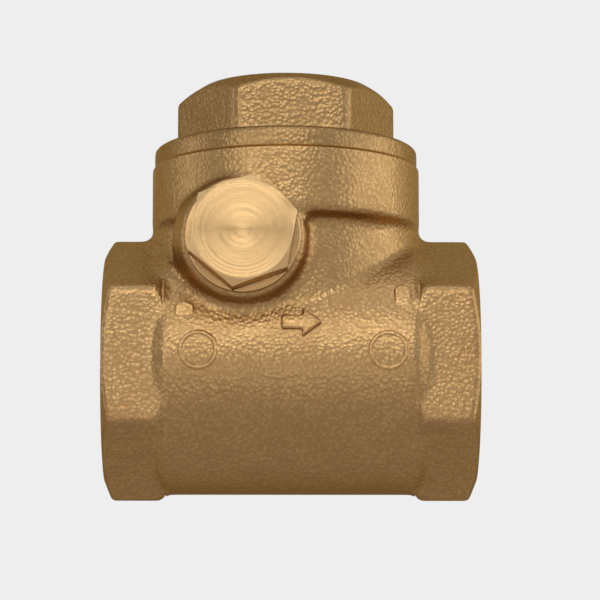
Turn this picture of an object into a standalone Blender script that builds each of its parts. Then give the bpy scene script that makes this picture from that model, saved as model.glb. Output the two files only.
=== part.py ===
"""Swing check valve, DN25, with two threaded hexagon ends.

The origin lies on the pipe's axis at mid-length. X runs along the flow, from the
inlet at -X to the outlet at +X, Z runs up through the bonnet, and the plug of the
hinge pin faces -Y.
"""

import math

import bmesh
import bpy
from mathutils import Matrix

MM = 0.001
GAP = 0.3 * MM  # clear space between pieces that touch

# Pipe ends
LENGTH = 66.0 * MM
THREAD_RADIUS = 15.15 * MM  # crest of the G 1 thread
THREAD_LEAD_IN = 1.7 * MM
THREAD_PITCH = 2.309 * MM
THREAD_DEPTH = 1.45 * MM
THREAD_RELIEF_WIDTH = 2.0 * MM  # the turned groove where the thread runs out
THREAD_RELIEF_DEPTH = 1.65 * MM
HEX_WALL = 5.35 * MM  # from the thread's crest to the hexagon's flats
HEX_LENGTH = 9.6 * MM
HEX_FACE_INSET = 0.4 * MM  # the round end face stays this far inside the flats
HEX_FACE_ANGLE = math.radians(22)
HEX_EDGE_ROUND = 0.8 * MM

# Seat, chamber and barrel
PORT_RADIUS = 11.5 * MM
SEAT_LIP_WIDTH = 1.2 * MM
SEAT_LIP_HEIGHT = 1.0 * MM
SEAT_SETBACK = 12.65 * MM  # from the neck's axis back to the chamber's inlet end
SEAT_WALL = 6.0 * MM  # from the end of the inlet thread to the chamber
CHAMBER_CLEARANCE = 3.1 * MM  # round the rim of the clapper's disc holder
BARREL_WALL = 4.2 * MM
BARREL_END_OVERLAP = 0.9 * MM  # the barrel's cone runs this far into the hexagon

# Neck
NECK_SHIFT = -0.85 * MM  # the neck's axis stands this far from mid-length
NECK_CLEARANCE = 1.6 * MM  # round the disc holder where it swings up into the neck
NECK_WALL = 3.3 * MM
NECK_END_OVERLAP = 0.4 * MM  # the oval neck runs this far into the hexagons
SHELF_RISE = 1.9 * MM  # the neck's bore ends this far above the inlet thread's crest
COLLAR_STEP = 2.3 * MM  # from the neck's bore out to the thread of the bonnet cap
COLLAR_WALL = 5.2 * MM
COLLAR_HEIGHT = 12.0 * MM
COLLAR_SLOPE = 0.7 * MM

# Bonnet cap
CAP_THREAD_LENGTH = 8.2 * MM
CAP_WALL = 3.2 * MM
CAP_FLANGE_INSET = 0.4 * MM  # the flange is this much smaller than the collar
CAP_FLANGE_CHAMFER = 1.2 * MM
CAP_FLANGE_HEIGHT = 3.6 * MM
CAP_HEX_WALL = 1.95 * MM  # from the cap's hollow to the hexagon's flats
CAP_HEX_HEIGHT = 11.1 * MM
CAP_HEX_TURN = math.radians(3.6)
CAP_FACE_INSET = 2.25 * MM  # the round top face stays this far inside the flats
CAP_CHAMFER_HEIGHT = 3.2 * MM
CAP_EDGE_ROUND = 0.6 * MM
CAP_ROOF = 4.5 * MM
GASKET_WIDTH = 2.7 * MM
GASKET_THICKNESS = 1.2 * MM

# Clapper
SEAT_DISC_OVERLAP = 0.8 * MM  # rubber beyond the seat's lip
SEAT_DISC_THICKNESS = 2.5 * MM
SEAT_DISC_PROUD = 0.7 * MM
HOLDER_RIM = 1.1 * MM
HOLDER_BACK = 2.4 * MM
STUD_RADIUS = 3.0 * MM
NUT_FLATS = 10.0 * MM
NUT_HEIGHT = 3.0 * MM
WASHER_RADIUS = 5.5 * MM
WASHER_THICKNESS = 0.9 * MM
STUD_PROUD = 0.5 * MM
HANGER_THICKNESS = 3.0 * MM
HANGER_EYE_RADIUS = 6.2 * MM
HANGER_WIDTH = 9.0 * MM
HANGER_WEB_INSET = 0.25 * MM  # the shank is thinner than the eye by this on each side

# Hinge
KNUCKLE_RADIUS = 4.0 * MM
KNUCKLE_LEAD = 0.6 * MM  # the hanger's back stands this far past the knuckle
KNUCKLE_END_CLEARANCE = 1.4 * MM  # from the knuckle's ends to the neck's bore
HINGE_CLEARANCE = 1.2 * MM  # from the holder's rim to the knuckle
SHELF_LAP = 1.2 * MM  # the knuckle may reach this far down past the shelf's edge
BONNET_CLEARANCE = 1.2 * MM  # from the plug's hole to the cap's skirt
PIN_RADIUS = 2.0 * MM
PIN_END_CHAMFER = 0.4 * MM
PIN_SEAT_DEPTH = 2.6 * MM  # depth of the blind hole in the rear boss

# Bosses and plug of the hinge pin
BOSS_MARGIN = 0.6 * MM  # the boss is this much larger than the plug's collar
BOSS_DRAFT = 2.2 * MM
BOSS_PROUD = 1.8 * MM  # its face stands this far past the barrel
REAR_BOSS_RADIUS = 7.0 * MM
REAR_BOSS_PROUD = 1.8 * MM  # its face stands this far past the neck
PLUG_THREAD_RADIUS = 6.4 * MM
PLUG_FLATS = 17.3 * MM
PLUG_TURN = math.radians(20)
PLUG_HEAD_HEIGHT = 5.0 * MM
PLUG_HEAD_CHAMFER = 0.8 * MM
PLUG_FLANGE_LAP = 1.1 * MM  # the plug's collar covers this much round its gasket
PLUG_FLANGE_HEIGHT = 1.5 * MM
PLUG_PIN_DEPTH = 4.0 * MM
PLUG_GASKET_WIDTH = 1.9 * MM
PLUG_GASKET_THICKNESS = 0.9 * MM

SEGMENTS = 64
SMALL_SEGMENTS = 32
AXIS_MARK = 5.0 * MM  # drawn size of the empties on the joint axes

# Places worked out from the sizes
HALF_LENGTH = LENGTH / 2
HEX_FLATS = 2 * (THREAD_RADIUS + HEX_WALL)
HEX_RADIUS = HEX_FLATS / math.sqrt(3)
HEX_FACE_RADIUS = HEX_FLATS / 2 - HEX_FACE_INSET
SHOULDER = HALF_LENGTH - HEX_LENGTH
CHAMBER_START = NECK_SHIFT - SEAT_SETBACK
THREAD_END = SEAT_WALL - CHAMBER_START
SEAT_PLANE = CHAMBER_START + SEAT_LIP_HEIGHT
SEAT_LIP_RADIUS = PORT_RADIUS + SEAT_LIP_WIDTH

SEAT_DISC_RADIUS = SEAT_LIP_RADIUS + SEAT_DISC_OVERLAP
HOLDER_RADIUS = SEAT_DISC_RADIUS + GAP + HOLDER_RIM
CHAMBER_RADIUS = HOLDER_RADIUS + CHAMBER_CLEARANCE
BARREL_RADIUS = CHAMBER_RADIUS + BARREL_WALL
DISC_FRONT = SEAT_PLANE + GAP
DISC_BACK = DISC_FRONT + SEAT_DISC_THICKNESS
HOLDER_FRONT = DISC_FRONT + SEAT_DISC_PROUD
HOLDER_FLOOR = DISC_BACK + GAP
HOLDER_END = HOLDER_FLOOR + HOLDER_BACK
HANGER_FRONT = HOLDER_END + GAP
HANGER_BACK = HANGER_FRONT + HANGER_THICKNESS
BORE_RADIUS = STUD_RADIUS + GAP

SHELF_HEIGHT = THREAD_RADIUS + SHELF_RISE
HINGE_X = HANGER_BACK - KNUCKLE_RADIUS - KNUCKLE_LEAD
KNUCKLE_BOTTOM = max(HOLDER_RADIUS + HINGE_CLEARANCE, SHELF_HEIGHT - SHELF_LAP)
HINGE_Z = KNUCKLE_BOTTOM + KNUCKLE_RADIUS
PIN_HOLE_RADIUS = PIN_RADIUS + GAP
PLUG_HOLE_RADIUS = PLUG_THREAD_RADIUS + GAP

NECK_BORE = HOLDER_RADIUS + NECK_CLEARANCE
NECK_HALF_WIDTH = NECK_BORE + NECK_WALL
NECK_HALF_LENGTH = SHOULDER + NECK_END_OVERLAP
KNUCKLE_SIDE = HINGE_X - KNUCKLE_RADIUS - NECK_SHIFT
KNUCKLE_HALF = math.sqrt(NECK_BORE**2 - KNUCKLE_SIDE**2) - KNUCKLE_END_CLEARANCE
SKIRT_BOTTOM = HINGE_Z + max(KNUCKLE_RADIUS, PLUG_HOLE_RADIUS) + BONNET_CLEARANCE
NECK_TOP = SKIRT_BOTTOM + CAP_THREAD_LENGTH
COLLAR_BOTTOM = NECK_TOP - COLLAR_HEIGHT
COLLAR_BORE = NECK_BORE + COLLAR_STEP
COLLAR_RADIUS = COLLAR_BORE + COLLAR_WALL
CAP_THREAD_RADIUS = COLLAR_BORE - GAP
CAP_BORE = CAP_THREAD_RADIUS - CAP_WALL
CAP_HEX_FLATS = 2 * (CAP_BORE + CAP_HEX_WALL)
CAP_FACE_RADIUS = CAP_HEX_FLATS / 2 - CAP_FACE_INSET
CAP_FLANGE_RADIUS = COLLAR_RADIUS - CAP_FLANGE_INSET
RECESS_RADIUS = CAP_THREAD_RADIUS + GASKET_WIDTH + 2 * GAP
RECESS_DEPTH = GASKET_THICKNESS + GAP
FLANGE_BOTTOM = NECK_TOP + GAP
FLANGE_TOP = FLANGE_BOTTOM + CAP_FLANGE_HEIGHT
CAP_TOP = FLANGE_TOP + CAP_HEX_HEIGHT

BOSS_FACE = BARREL_RADIUS + BOSS_PROUD
REAR_BOSS_FACE = NECK_HALF_WIDTH + REAR_BOSS_PROUD
PLUG_SEAT = BOSS_FACE + GAP
PLUG_RECESS_RADIUS = PLUG_THREAD_RADIUS + PLUG_GASKET_WIDTH + 2 * GAP
PLUG_FLANGE_RADIUS = PLUG_RECESS_RADIUS + PLUG_FLANGE_LAP
BOSS_RADIUS = PLUG_FLANGE_RADIUS + BOSS_MARGIN
PLUG_RECESS_DEPTH = PLUG_GASKET_THICKNESS + GAP
PLUG_END = math.sqrt(NECK_BORE**2 - (HINGE_X - NECK_SHIFT) ** 2)
PIN_FRONT = PLUG_END + PLUG_PIN_DEPTH - GAP
PIN_HOLE_END = PLUG_END + PIN_SEAT_DEPTH
PIN_BACK = PIN_HOLE_END - GAP


def collection(name):
    made = bpy.data.collections.new(name)
    bpy.context.scene.collection.children.link(made)
    return made


def material(name, colour, metallic, roughness):
    made = bpy.data.materials.new(name)
    made.use_nodes = True
    shader = made.node_tree.nodes["Principled BSDF"]
    shader.inputs["Base Color"].default_value = (*colour, 1)
    shader.inputs["Metallic"].default_value = metallic
    shader.inputs["Roughness"].default_value = roughness
    made.diffuse_color = (*colour, 1)
    return made


def along(obj, axis, at):
    """Points the object's own Z along X, -Y or Z, with its origin at a place."""
    obj.location = at
    obj.rotation_euler = {
        "X": (0, math.radians(90), 0),
        "-Y": (math.radians(90), 0, 0),
        "Z": (0, 0, 0),
    }[axis]


def as_object(name, mesh, axis="Z", at=(0, 0, 0)):
    obj = bpy.data.objects.new(name, mesh)
    forms.objects.link(obj)
    obj.hide_render = True
    obj.display_type = "WIRE"
    along(obj, axis, at)
    return obj


def turned(name, profile, axis="Z", at=(0, 0, 0), segments=SEGMENTS):
    """A turned solid. The profile's (radius, height) points run down its outer side."""
    mesh = bpy.data.meshes.new(name)
    edges = [(i, i + 1) for i in range(len(profile) - 1)]
    if profile[0][0] > 0:
        edges.append((len(profile) - 1, 0))
    mesh.from_pydata([(radius, 0, height) for radius, height in profile], edges, [])
    obj = as_object(name, mesh, axis, at)
    screw = obj.modifiers.new("turning", "SCREW")
    screw.steps = screw.render_steps = segments
    screw.use_merge_vertices = True
    screw.merge_threshold = 0.00001
    return obj


def cylinder(name, radius, low, high, axis="Z", at=(0, 0, 0), segments=SEGMENTS):
    return turned(
        name, [(0, high), (radius, high), (radius, low), (0, low)], axis, at, segments
    )


def ring(name, outer, inner, low, high, axis="Z", at=(0, 0, 0), segments=SEGMENTS):
    profile = [(outer, high), (outer, low), (inner, low), (inner, high)]
    return turned(name, profile, axis, at, segments)


def hexagon(name, flats, low, high, axis, at, turn=0.0, edge_round=0.0):
    """A hexagon bar. With no turn, two of its corners lie on the object's own X."""
    mesh = bpy.data.meshes.new(name)
    bm = bmesh.new()
    radius = flats / math.sqrt(3)
    bmesh.ops.create_cone(
        bm, cap_ends=True, segments=6, radius1=radius, radius2=radius, depth=high - low
    )
    bm.verts.ensure_lookup_table()
    corner = math.atan2(bm.verts[0].co.y, bm.verts[0].co.x)
    bmesh.ops.rotate(bm, matrix=Matrix.Rotation(turn - corner, 3, "Z"), verts=bm.verts)
    bmesh.ops.translate(bm, vec=(0, 0, (low + high) / 2), verts=bm.verts)
    if edge_round:
        upright = [e for e in bm.edges if abs(e.verts[0].co.z - e.verts[1].co.z) > GAP]
        bmesh.ops.bevel(
            bm,
            geom=upright,
            offset=edge_round,
            offset_type="OFFSET",
            segments=2,
            profile=0.5,
            affect="EDGES",
            material=-1,
        )
    bm.to_mesh(mesh)
    bm.free()
    return as_object(name, mesh, axis, at)


def boolean(obj, operation, others, solver="EXACT"):
    for other in others:
        modifier = obj.modifiers.new(f"{operation.lower()} {other.name}", "BOOLEAN")
        modifier.operation = operation
        modifier.object = other
        modifier.solver = solver


def finished(obj, name, surface, parent=None):
    """Moves a form out of the hidden ones and makes it a piece of the valve."""
    forms.objects.unlink(obj)
    valve.objects.link(obj)
    obj.name = obj.data.name = name
    obj.hide_render = False
    obj.display_type = "TEXTURED"
    obj.data.materials.append(surface)
    obj.data.shade_smooth()
    obj.data.set_sharp_from_angle(angle=math.radians(35))
    if parent:
        obj.parent = parent
        obj.matrix_parent_inverse = parent.matrix_world.inverted()
    return obj


def joint_axis(name, at, axis, parent=None):
    empty = bpy.data.objects.new(name, None)
    valve.objects.link(empty)
    along(empty, axis, at)
    empty.empty_display_size = AXIS_MARK
    if parent:
        empty.parent = parent
        bpy.context.view_layer.update()
        empty.matrix_parent_inverse = parent.matrix_world.inverted()
    bpy.context.view_layer.update()
    return empty


def pipe_ends_form():
    """Both hexagon ends: one bar, turned to a cone at its faces and inner shoulders."""
    cone = (HEX_RADIUS - HEX_FACE_RADIUS) * math.tan(HEX_FACE_ANGLE)
    core = (CHAMBER_RADIUS + BARREL_RADIUS) / 2
    root = SHOULDER - (HEX_RADIUS - core)
    half = [
        (HEX_FACE_RADIUS, HALF_LENGTH),
        (HEX_RADIUS, HALF_LENGTH - cone),
        (HEX_RADIUS, SHOULDER),
        (core, root),
    ]
    mirrored = [(radius, -height) for radius, height in reversed(half)]
    profile = [(0, HALF_LENGTH), *half, *mirrored, (0, -HALF_LENGTH)]
    bar = hexagon(
        "pipe_ends", HEX_FLATS, -HALF_LENGTH, HALF_LENGTH, "X", (0, 0, 0), 0, HEX_EDGE_ROUND
    )
    boolean(bar, "INTERSECT", [turned("pipe_ends_turning", profile, "X")])
    return bar


def neck_form():
    """The oval lower neck, round bar stretched along the flow."""
    mesh = bpy.data.meshes.new("lower_neck")
    bm = bmesh.new()
    top = COLLAR_BOTTOM + COLLAR_SLOPE + GAP
    bmesh.ops.create_cone(
        bm, cap_ends=True, segments=SEGMENTS, radius1=1, radius2=1, depth=top
    )
    half_step = Matrix.Rotation(math.pi / SEGMENTS, 3, "Z")
    bmesh.ops.rotate(bm, matrix=half_step, verts=bm.verts)
    bmesh.ops.scale(bm, vec=(NECK_HALF_LENGTH, NECK_HALF_WIDTH, 1), verts=bm.verts)
    bmesh.ops.translate(bm, vec=(0, 0, top / 2), verts=bm.verts)
    bm.to_mesh(mesh)
    bm.free()
    return as_object("lower_neck", mesh, "Z", (NECK_SHIFT, 0, 0))


def barrel_form():
    flat = HEX_FLATS / 2 - GAP
    end = SHOULDER + BARREL_END_OVERLAP
    full = end - abs(BARREL_RADIUS - flat)
    profile = [
        (0, end),
        (flat, end),
        (BARREL_RADIUS, full),
        (BARREL_RADIUS, -full),
        (flat, -end),
        (0, -end),
    ]
    return turned("barrel", profile, "X")


def collar_form():
    profile = [
        (0, NECK_TOP),
        (COLLAR_RADIUS, NECK_TOP),
        (COLLAR_RADIUS, COLLAR_BOTTOM + COLLAR_SLOPE),
        (NECK_HALF_WIDTH - COLLAR_SLOPE, COLLAR_BOTTOM),
        (0, COLLAR_BOTTOM),
    ]
    return turned("collar", profile, "Z", (NECK_SHIFT, 0, 0))


def boss_form():
    root = NECK_BORE + GAP
    profile = [
        (0, BOSS_FACE),
        (BOSS_RADIUS, BOSS_FACE),
        (BOSS_RADIUS + BOSS_DRAFT, root),
        (0, root),
    ]
    return turned("boss", profile, "-Y", (HINGE_X, 0, HINGE_Z))


def rear_boss_form():
    root = NECK_BORE + GAP
    profile = [
        (0, -root),
        (REAR_BOSS_RADIUS + BOSS_DRAFT, -root),
        (REAR_BOSS_RADIUS, -REAR_BOSS_FACE),
        (0, -REAR_BOSS_FACE),
    ]
    return turned("rear_boss", profile, "-Y", (HINGE_X, 0, HINGE_Z))


def socket_profile():
    """A threaded socket from its mouth to its floor, with the thread's turns as rings."""
    past = HALF_LENGTH + GAP
    lead_in = HALF_LENGTH - THREAD_LEAD_IN
    run_out = THREAD_END + THREAD_RELIEF_WIDTH
    root = THREAD_RADIUS + THREAD_DEPTH
    relief = THREAD_RADIUS + THREAD_RELIEF_DEPTH
    points = [(0, past), (THREAD_RADIUS + THREAD_LEAD_IN + GAP, past)]
    for turn in range(int((lead_in - run_out) / THREAD_PITCH)):
        start = lead_in - turn * THREAD_PITCH
        points += [
            (THREAD_RADIUS, start),
            (root, start - THREAD_PITCH / 3),
            (root, start - THREAD_PITCH / 2),
            (THREAD_RADIUS, start - THREAD_PITCH * 5 / 6),
        ]
    points += [(THREAD_RADIUS, run_out), (relief, run_out), (relief, THREAD_END)]
    return points


def flow_way():
    """What is bored along the pipe: both threaded sockets, the port and the chamber."""
    outlet = socket_profile()
    inlet = [(radius, -height) for radius, height in reversed(outlet)]
    profile = [
        *outlet,
        (CHAMBER_RADIUS, THREAD_END),
        (CHAMBER_RADIUS, CHAMBER_START),
        (SEAT_LIP_RADIUS, CHAMBER_START),
        (SEAT_LIP_RADIUS, SEAT_PLANE),
        (PORT_RADIUS, SEAT_PLANE),
        (PORT_RADIUS, -THREAD_END),
        *inlet,
    ]
    return turned("flow_way", profile, "X")


def neck_way():
    """What is bored down the neck. It stops at a shelf over the seat's wall."""
    profile = [
        (0, NECK_TOP + GAP),
        (RECESS_RADIUS, NECK_TOP + GAP),
        (RECESS_RADIUS, NECK_TOP - RECESS_DEPTH),
        (COLLAR_BORE, NECK_TOP - RECESS_DEPTH),
        (COLLAR_BORE, SKIRT_BOTTOM - GAP),
        (NECK_BORE, SKIRT_BOTTOM - GAP),
        (NECK_BORE, 0),
        (0, 0),
    ]
    cutter = turned("neck_way", profile, "Z", (NECK_SHIFT, 0, 0))
    mesh = bpy.data.meshes.new("shelf")
    bm = bmesh.new()
    bmesh.ops.create_cube(bm, size=1)
    bmesh.ops.scale(bm, vec=(LENGTH, 2 * LENGTH, 2 * SHELF_HEIGHT), verts=bm.verts)
    bm.to_mesh(mesh)
    bm.free()
    shelf = as_object("shelf", mesh, "Z", (SEAT_PLANE + GAP - HALF_LENGTH, 0, 0))
    boolean(cutter, "DIFFERENCE", [shelf])
    return cutter


def pin_way():
    """What is bored on the hinge's axis: the plug's hole and the pin's blind seat."""
    profile = [
        (0, BOSS_FACE + GAP),
        (PLUG_RECESS_RADIUS, BOSS_FACE + GAP),
        (PLUG_RECESS_RADIUS, BOSS_FACE - PLUG_RECESS_DEPTH),
        (PLUG_HOLE_RADIUS, BOSS_FACE - PLUG_RECESS_DEPTH),
        (PLUG_HOLE_RADIUS, PLUG_END - GAP),
        (PIN_HOLE_RADIUS, PLUG_END - GAP),
        (PIN_HOLE_RADIUS, -PIN_HOLE_END),
        (0, -PIN_HOLE_END),
    ]
    return turned("pin_way", profile, "-Y", (HINGE_X, 0, HINGE_Z), SMALL_SEGMENTS)


def make_body():
    body = barrel_form()
    outside = [
        pipe_ends_form(),
        neck_form(),
        collar_form(),
        boss_form(),
        rear_boss_form(),
    ]
    boolean(body, "UNION", outside, "MANIFOLD")
    boolean(body, "DIFFERENCE", [flow_way(), neck_way(), pin_way()], "MANIFOLD")
    return finished(body, "body", cast_brass)


def make_bonnet_cap():
    at = (NECK_SHIFT, 0, 0)
    shank = turned(
        "cap_shank",
        [
            (0, FLANGE_TOP),
            (CAP_FLANGE_RADIUS - CAP_FLANGE_CHAMFER, FLANGE_TOP),
            (CAP_FLANGE_RADIUS, FLANGE_TOP - CAP_FLANGE_CHAMFER / 2),
            (CAP_FLANGE_RADIUS, FLANGE_BOTTOM),
            (CAP_THREAD_RADIUS, FLANGE_BOTTOM),
            (CAP_THREAD_RADIUS, SKIRT_BOTTOM + GAP),
            (CAP_THREAD_RADIUS - GAP, SKIRT_BOTTOM),
            (0, SKIRT_BOTTOM),
        ],
        "Z",
        at,
    )
    bar = hexagon(
        "cap_hexagon",
        CAP_HEX_FLATS,
        FLANGE_TOP - GAP,
        CAP_TOP,
        "Z",
        at,
        CAP_HEX_TURN,
        CAP_EDGE_ROUND,
    )
    hex_radius = CAP_HEX_FLATS / math.sqrt(3)
    outline = turned(
        "cap_turning",
        [
            (0, CAP_TOP),
            (CAP_FACE_RADIUS, CAP_TOP),
            (hex_radius, CAP_TOP - CAP_CHAMFER_HEIGHT),
            (hex_radius, FLANGE_TOP - 2 * GAP),
            (0, FLANGE_TOP - 2 * GAP),
        ],
        "Z",
        at,
    )
    boolean(bar, "INTERSECT", [outline])
    hollow = turned(
        "cap_hollow",
        [
            (0, CAP_TOP - CAP_ROOF),
            (CAP_BORE - CAP_WALL, CAP_TOP - CAP_ROOF),
            (CAP_BORE, CAP_TOP - CAP_ROOF - CAP_WALL),
            (CAP_BORE, SKIRT_BOTTOM - GAP),
            (0, SKIRT_BOTTOM - GAP),
        ],
        "Z",
        at,
    )
    boolean(shank, "UNION", [bar])
    boolean(shank, "DIFFERENCE", [hollow])
    return finished(shank, "bonnet_cap", cast_brass)


def make_bonnet_gasket():
    inner = CAP_THREAD_RADIUS + GAP
    bottom = NECK_TOP - GASKET_THICKNESS
    form = ring(
        "bonnet_gasket", inner + GASKET_WIDTH, inner, bottom, NECK_TOP, "Z", (NECK_SHIFT, 0, 0)
    )
    return finished(form, "bonnet_gasket", fibre)


def make_plug():
    at = (HINGE_X, 0, HINGE_Z)
    head_seat = PLUG_SEAT + PLUG_FLANGE_HEIGHT
    head_top = head_seat + PLUG_HEAD_HEIGHT
    shank = turned(
        "plug_shank",
        [
            (0, head_seat),
            (PLUG_FLANGE_RADIUS - GAP, head_seat),
            (PLUG_FLANGE_RADIUS, head_seat - GAP),
            (PLUG_FLANGE_RADIUS, PLUG_SEAT),
            (PLUG_THREAD_RADIUS, PLUG_SEAT),
            (PLUG_THREAD_RADIUS, PLUG_END + GAP),
            (PLUG_THREAD_RADIUS - GAP, PLUG_END),
            (0, PLUG_END),
        ],
        "-Y",
        at,
        SMALL_SEGMENTS,
    )
    bar = hexagon(
        "plug_hexagon", PLUG_FLATS, head_seat - GAP, head_top, "-Y", at, PLUG_TURN
    )
    hex_radius = PLUG_FLATS / math.sqrt(3)
    outline = turned(
        "plug_turning",
        [
            (0, head_top),
            (hex_radius - 2 * PLUG_HEAD_CHAMFER, head_top),
            (hex_radius, head_top - PLUG_HEAD_CHAMFER),
            (hex_radius, head_seat - 2 * GAP),
            (0, head_seat - 2 * GAP),
        ],
        "-Y",
        at,
    )
    boolean(bar, "INTERSECT", [outline])
    pin_bore = cylinder(
        "plug_pin_bore",
        PIN_HOLE_RADIUS,
        PLUG_END - GAP,
        PLUG_END + PLUG_PIN_DEPTH,
        "-Y",
        at,
        SMALL_SEGMENTS,
    )
    boolean(shank, "UNION", [bar])
    boolean(shank, "DIFFERENCE", [pin_bore])
    return finished(shank, "hinge_pin_plug", bright_brass)


def make_plug_gasket():
    inner = PLUG_THREAD_RADIUS + GAP
    form = ring(
        "plug_gasket",
        inner + PLUG_GASKET_WIDTH,
        inner,
        BOSS_FACE - PLUG_GASKET_THICKNESS,
        BOSS_FACE,
        "-Y",
        (HINGE_X, 0, HINGE_Z),
        SMALL_SEGMENTS,
    )
    return finished(form, "plug_gasket", fibre)


def make_hinge_pin():
    form = turned(
        "hinge_pin",
        [
            (0, PIN_FRONT),
            (PIN_RADIUS - PIN_END_CHAMFER, PIN_FRONT),
            (PIN_RADIUS, PIN_FRONT - PIN_END_CHAMFER),
            (PIN_RADIUS, PIN_END_CHAMFER - PIN_BACK),
            (PIN_RADIUS - PIN_END_CHAMFER, -PIN_BACK),
            (0, -PIN_BACK),
        ],
        "-Y",
        (HINGE_X, 0, HINGE_Z),
        SMALL_SEGMENTS,
    )
    return finished(form, "hinge_pin", stainless)


def make_hanger(parent):
    """The arm: a knuckle on the pin, a flat shank and an eye for the disc's stud."""
    knuckle = cylinder(
        "knuckle",
        KNUCKLE_RADIUS,
        -KNUCKLE_HALF,
        KNUCKLE_HALF,
        "-Y",
        (HINGE_X, 0, HINGE_Z),
        SMALL_SEGMENTS,
    )
    eye = cylinder(
        "hanger_eye", HANGER_EYE_RADIUS, HANGER_FRONT, HANGER_BACK, "X", (0, 0, 0), SMALL_SEGMENTS
    )
    mesh = bpy.data.meshes.new("hanger_shank")
    bm = bmesh.new()
    bmesh.ops.create_cube(bm, size=1)
    web = HANGER_THICKNESS - 2 * HANGER_WEB_INSET
    reach = HINGE_Z - KNUCKLE_RADIUS / 3
    bmesh.ops.scale(bm, vec=(web, HANGER_WIDTH, reach), verts=bm.verts)
    bm.to_mesh(mesh)
    bm.free()
    middle = (HANGER_FRONT + HANGER_BACK) / 2
    shank = as_object("hanger_shank", mesh, "Z", (middle, 0, reach / 2))
    boolean(knuckle, "UNION", [shank, eye], "MANIFOLD")
    stud_hole = cylinder(
        "eye_bore",
        BORE_RADIUS,
        HANGER_FRONT - GAP,
        HANGER_BACK + GAP,
        "X",
        (0, 0, 0),
        SMALL_SEGMENTS,
    )
    pin_hole = cylinder(
        "knuckle_bore",
        PIN_HOLE_RADIUS,
        -KNUCKLE_HALF - GAP,
        KNUCKLE_HALF + GAP,
        "-Y",
        (HINGE_X, 0, HINGE_Z),
        SMALL_SEGMENTS,
    )
    boolean(knuckle, "DIFFERENCE", [stud_hole, pin_hole], "MANIFOLD")
    return finished(knuckle, "disc_hanger", machined_brass, parent)


def make_disc_holder(parent):
    washer_stack = WASHER_THICKNESS + NUT_HEIGHT + 2 * GAP + STUD_PROUD
    form = turned(
        "disc_holder",
        [
            (0, HANGER_BACK + washer_stack),
            (STUD_RADIUS - GAP, HANGER_BACK + washer_stack),
            (STUD_RADIUS, HANGER_BACK + washer_stack - GAP),
            (STUD_RADIUS, HOLDER_END),
            (HOLDER_RADIUS - HOLDER_RIM / 2, HOLDER_END),
            (HOLDER_RADIUS, HOLDER_END - HOLDER_RIM / 2),
            (HOLDER_RADIUS, HOLDER_FRONT),
            (SEAT_DISC_RADIUS + GAP, HOLDER_FRONT),
            (SEAT_DISC_RADIUS + GAP, HOLDER_FLOOR),
            (STUD_RADIUS, HOLDER_FLOOR),
            (STUD_RADIUS, DISC_FRONT - washer_stack + GAP),
            (STUD_RADIUS - GAP, DISC_FRONT - washer_stack),
            (0, DISC_FRONT - washer_stack),
        ],
        "X",
    )
    return finished(form, "disc_holder", machined_brass, parent)


def make_seat_disc(parent):
    form = ring("seat_disc", SEAT_DISC_RADIUS, BORE_RADIUS, DISC_FRONT, DISC_BACK, "X")
    return finished(form, "seat_disc", rubber, parent)


def make_washer(name, low, parent):
    form = ring(
        name, WASHER_RADIUS, BORE_RADIUS, low, low + WASHER_THICKNESS, "X", (0, 0, 0), SMALL_SEGMENTS
    )
    return finished(form, name, stainless, parent)


def make_nut(name, low, parent):
    high = low + NUT_HEIGHT
    bar = hexagon(f"{name}_bar", NUT_FLATS, low, high, "X", (0, 0, 0))
    radius = NUT_FLATS / math.sqrt(3)
    chamfer = (radius - NUT_FLATS / 2) / 2
    outline = turned(
        f"{name}_turning",
        [
            (NUT_FLATS / 2, high),
            (radius + GAP, high - chamfer),
            (radius + GAP, low + chamfer),
            (NUT_FLATS / 2, low),
            (BORE_RADIUS, low),
            (BORE_RADIUS, high),
        ],
        "X",
        (0, 0, 0),
        SMALL_SEGMENTS,
    )
    boolean(bar, "INTERSECT", [outline])
    return finished(bar, name, stainless, parent)


for old in list(bpy.data.objects):
    bpy.data.objects.remove(old)

valve = collection("swing_check_valve")
forms = collection("swing_check_valve_forms")

cast_brass = material("cast_brass", (0.42, 0.27, 0.12), 0.75, 0.45)
bright_brass = material("bright_brass", (0.80, 0.55, 0.29), 0.9, 0.25)
machined_brass = material("machined_brass", (0.66, 0.47, 0.22), 0.9, 0.3)
stainless = material("stainless", (0.60, 0.59, 0.57), 1.0, 0.3)
rubber = material("rubber", (0.03, 0.03, 0.03), 0.0, 0.75)
fibre = material("fibre", (0.25, 0.10, 0.07), 0.0, 0.8)

make_body()
make_bonnet_cap()
make_bonnet_gasket()
make_plug()
make_plug_gasket()
make_hinge_pin()

swing = joint_axis("swing_axis", (HINGE_X, 0, HINGE_Z), "-Y")
make_hanger(swing)
spin = joint_axis("spin_axis", (0, 0, 0), "X", swing)
make_disc_holder(spin)
make_seat_disc(spin)
make_washer("seat_disc_washer", DISC_FRONT - GAP - WASHER_THICKNESS, spin)
make_nut("seat_disc_nut", DISC_FRONT - 2 * GAP - WASHER_THICKNESS - NUT_HEIGHT, spin)
make_washer("hanger_washer", HANGER_BACK + GAP, spin)
make_nut("hanger_nut", HANGER_BACK + 2 * GAP + WASHER_THICKNESS, spin)
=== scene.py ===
"""The looks of a threaded brass swing check valve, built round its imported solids.

X runs along the flow, Z up through the bonnet cap, and the plug of the hinge pin
faces -Y. Forged faces are blasted, and what screws or seals is turned.
"""

import math

import bmesh
import bpy
from mathutils import Matrix, Vector


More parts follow.
